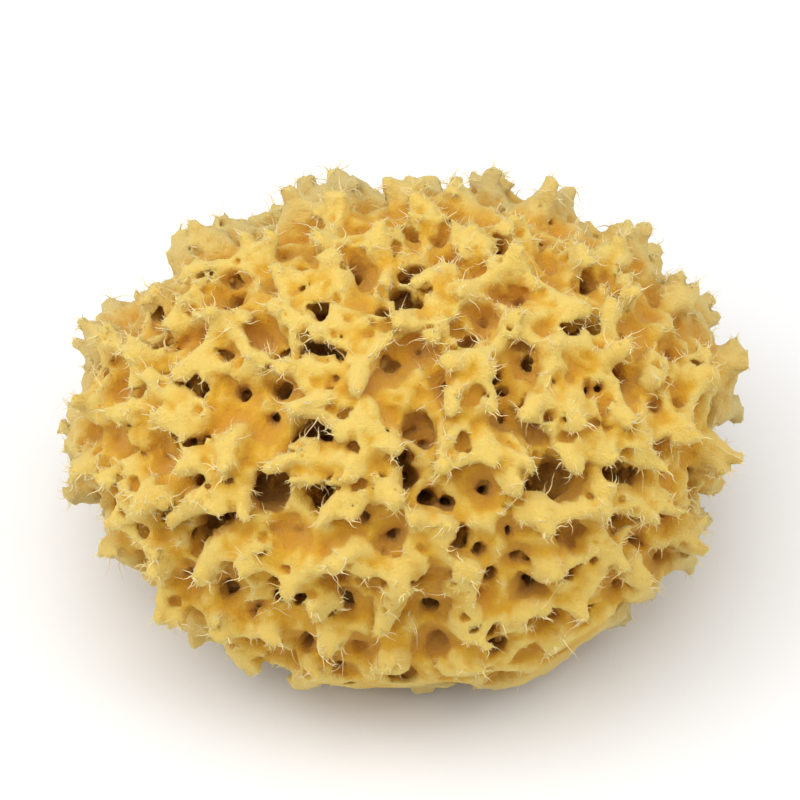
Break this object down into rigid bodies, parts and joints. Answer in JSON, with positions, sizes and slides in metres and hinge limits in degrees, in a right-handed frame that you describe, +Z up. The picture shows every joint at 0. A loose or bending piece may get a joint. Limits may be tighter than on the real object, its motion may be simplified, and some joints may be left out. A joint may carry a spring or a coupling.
{
  "type": "sea sponge",
  "caption": "Natural bath sponge: a low oval dome of springy golden skeleton with deep canals, ridges and frayed tufts, cut flat where it grew.",
  "frame": {"origin": "on the flat cut it rests on, below the middle of the outline", "axes": "+X along the long side of the oval, +Y away from the viewer of the picture, +Z up"},
  "size_m": [0.14, 0.116, 0.086],
  "materials": {
    "sponge_skeleton": "matte"
  },
  "bodies": {
    "root": {"sponge": "sponge_skeleton"}
  },
  "joints": []
}
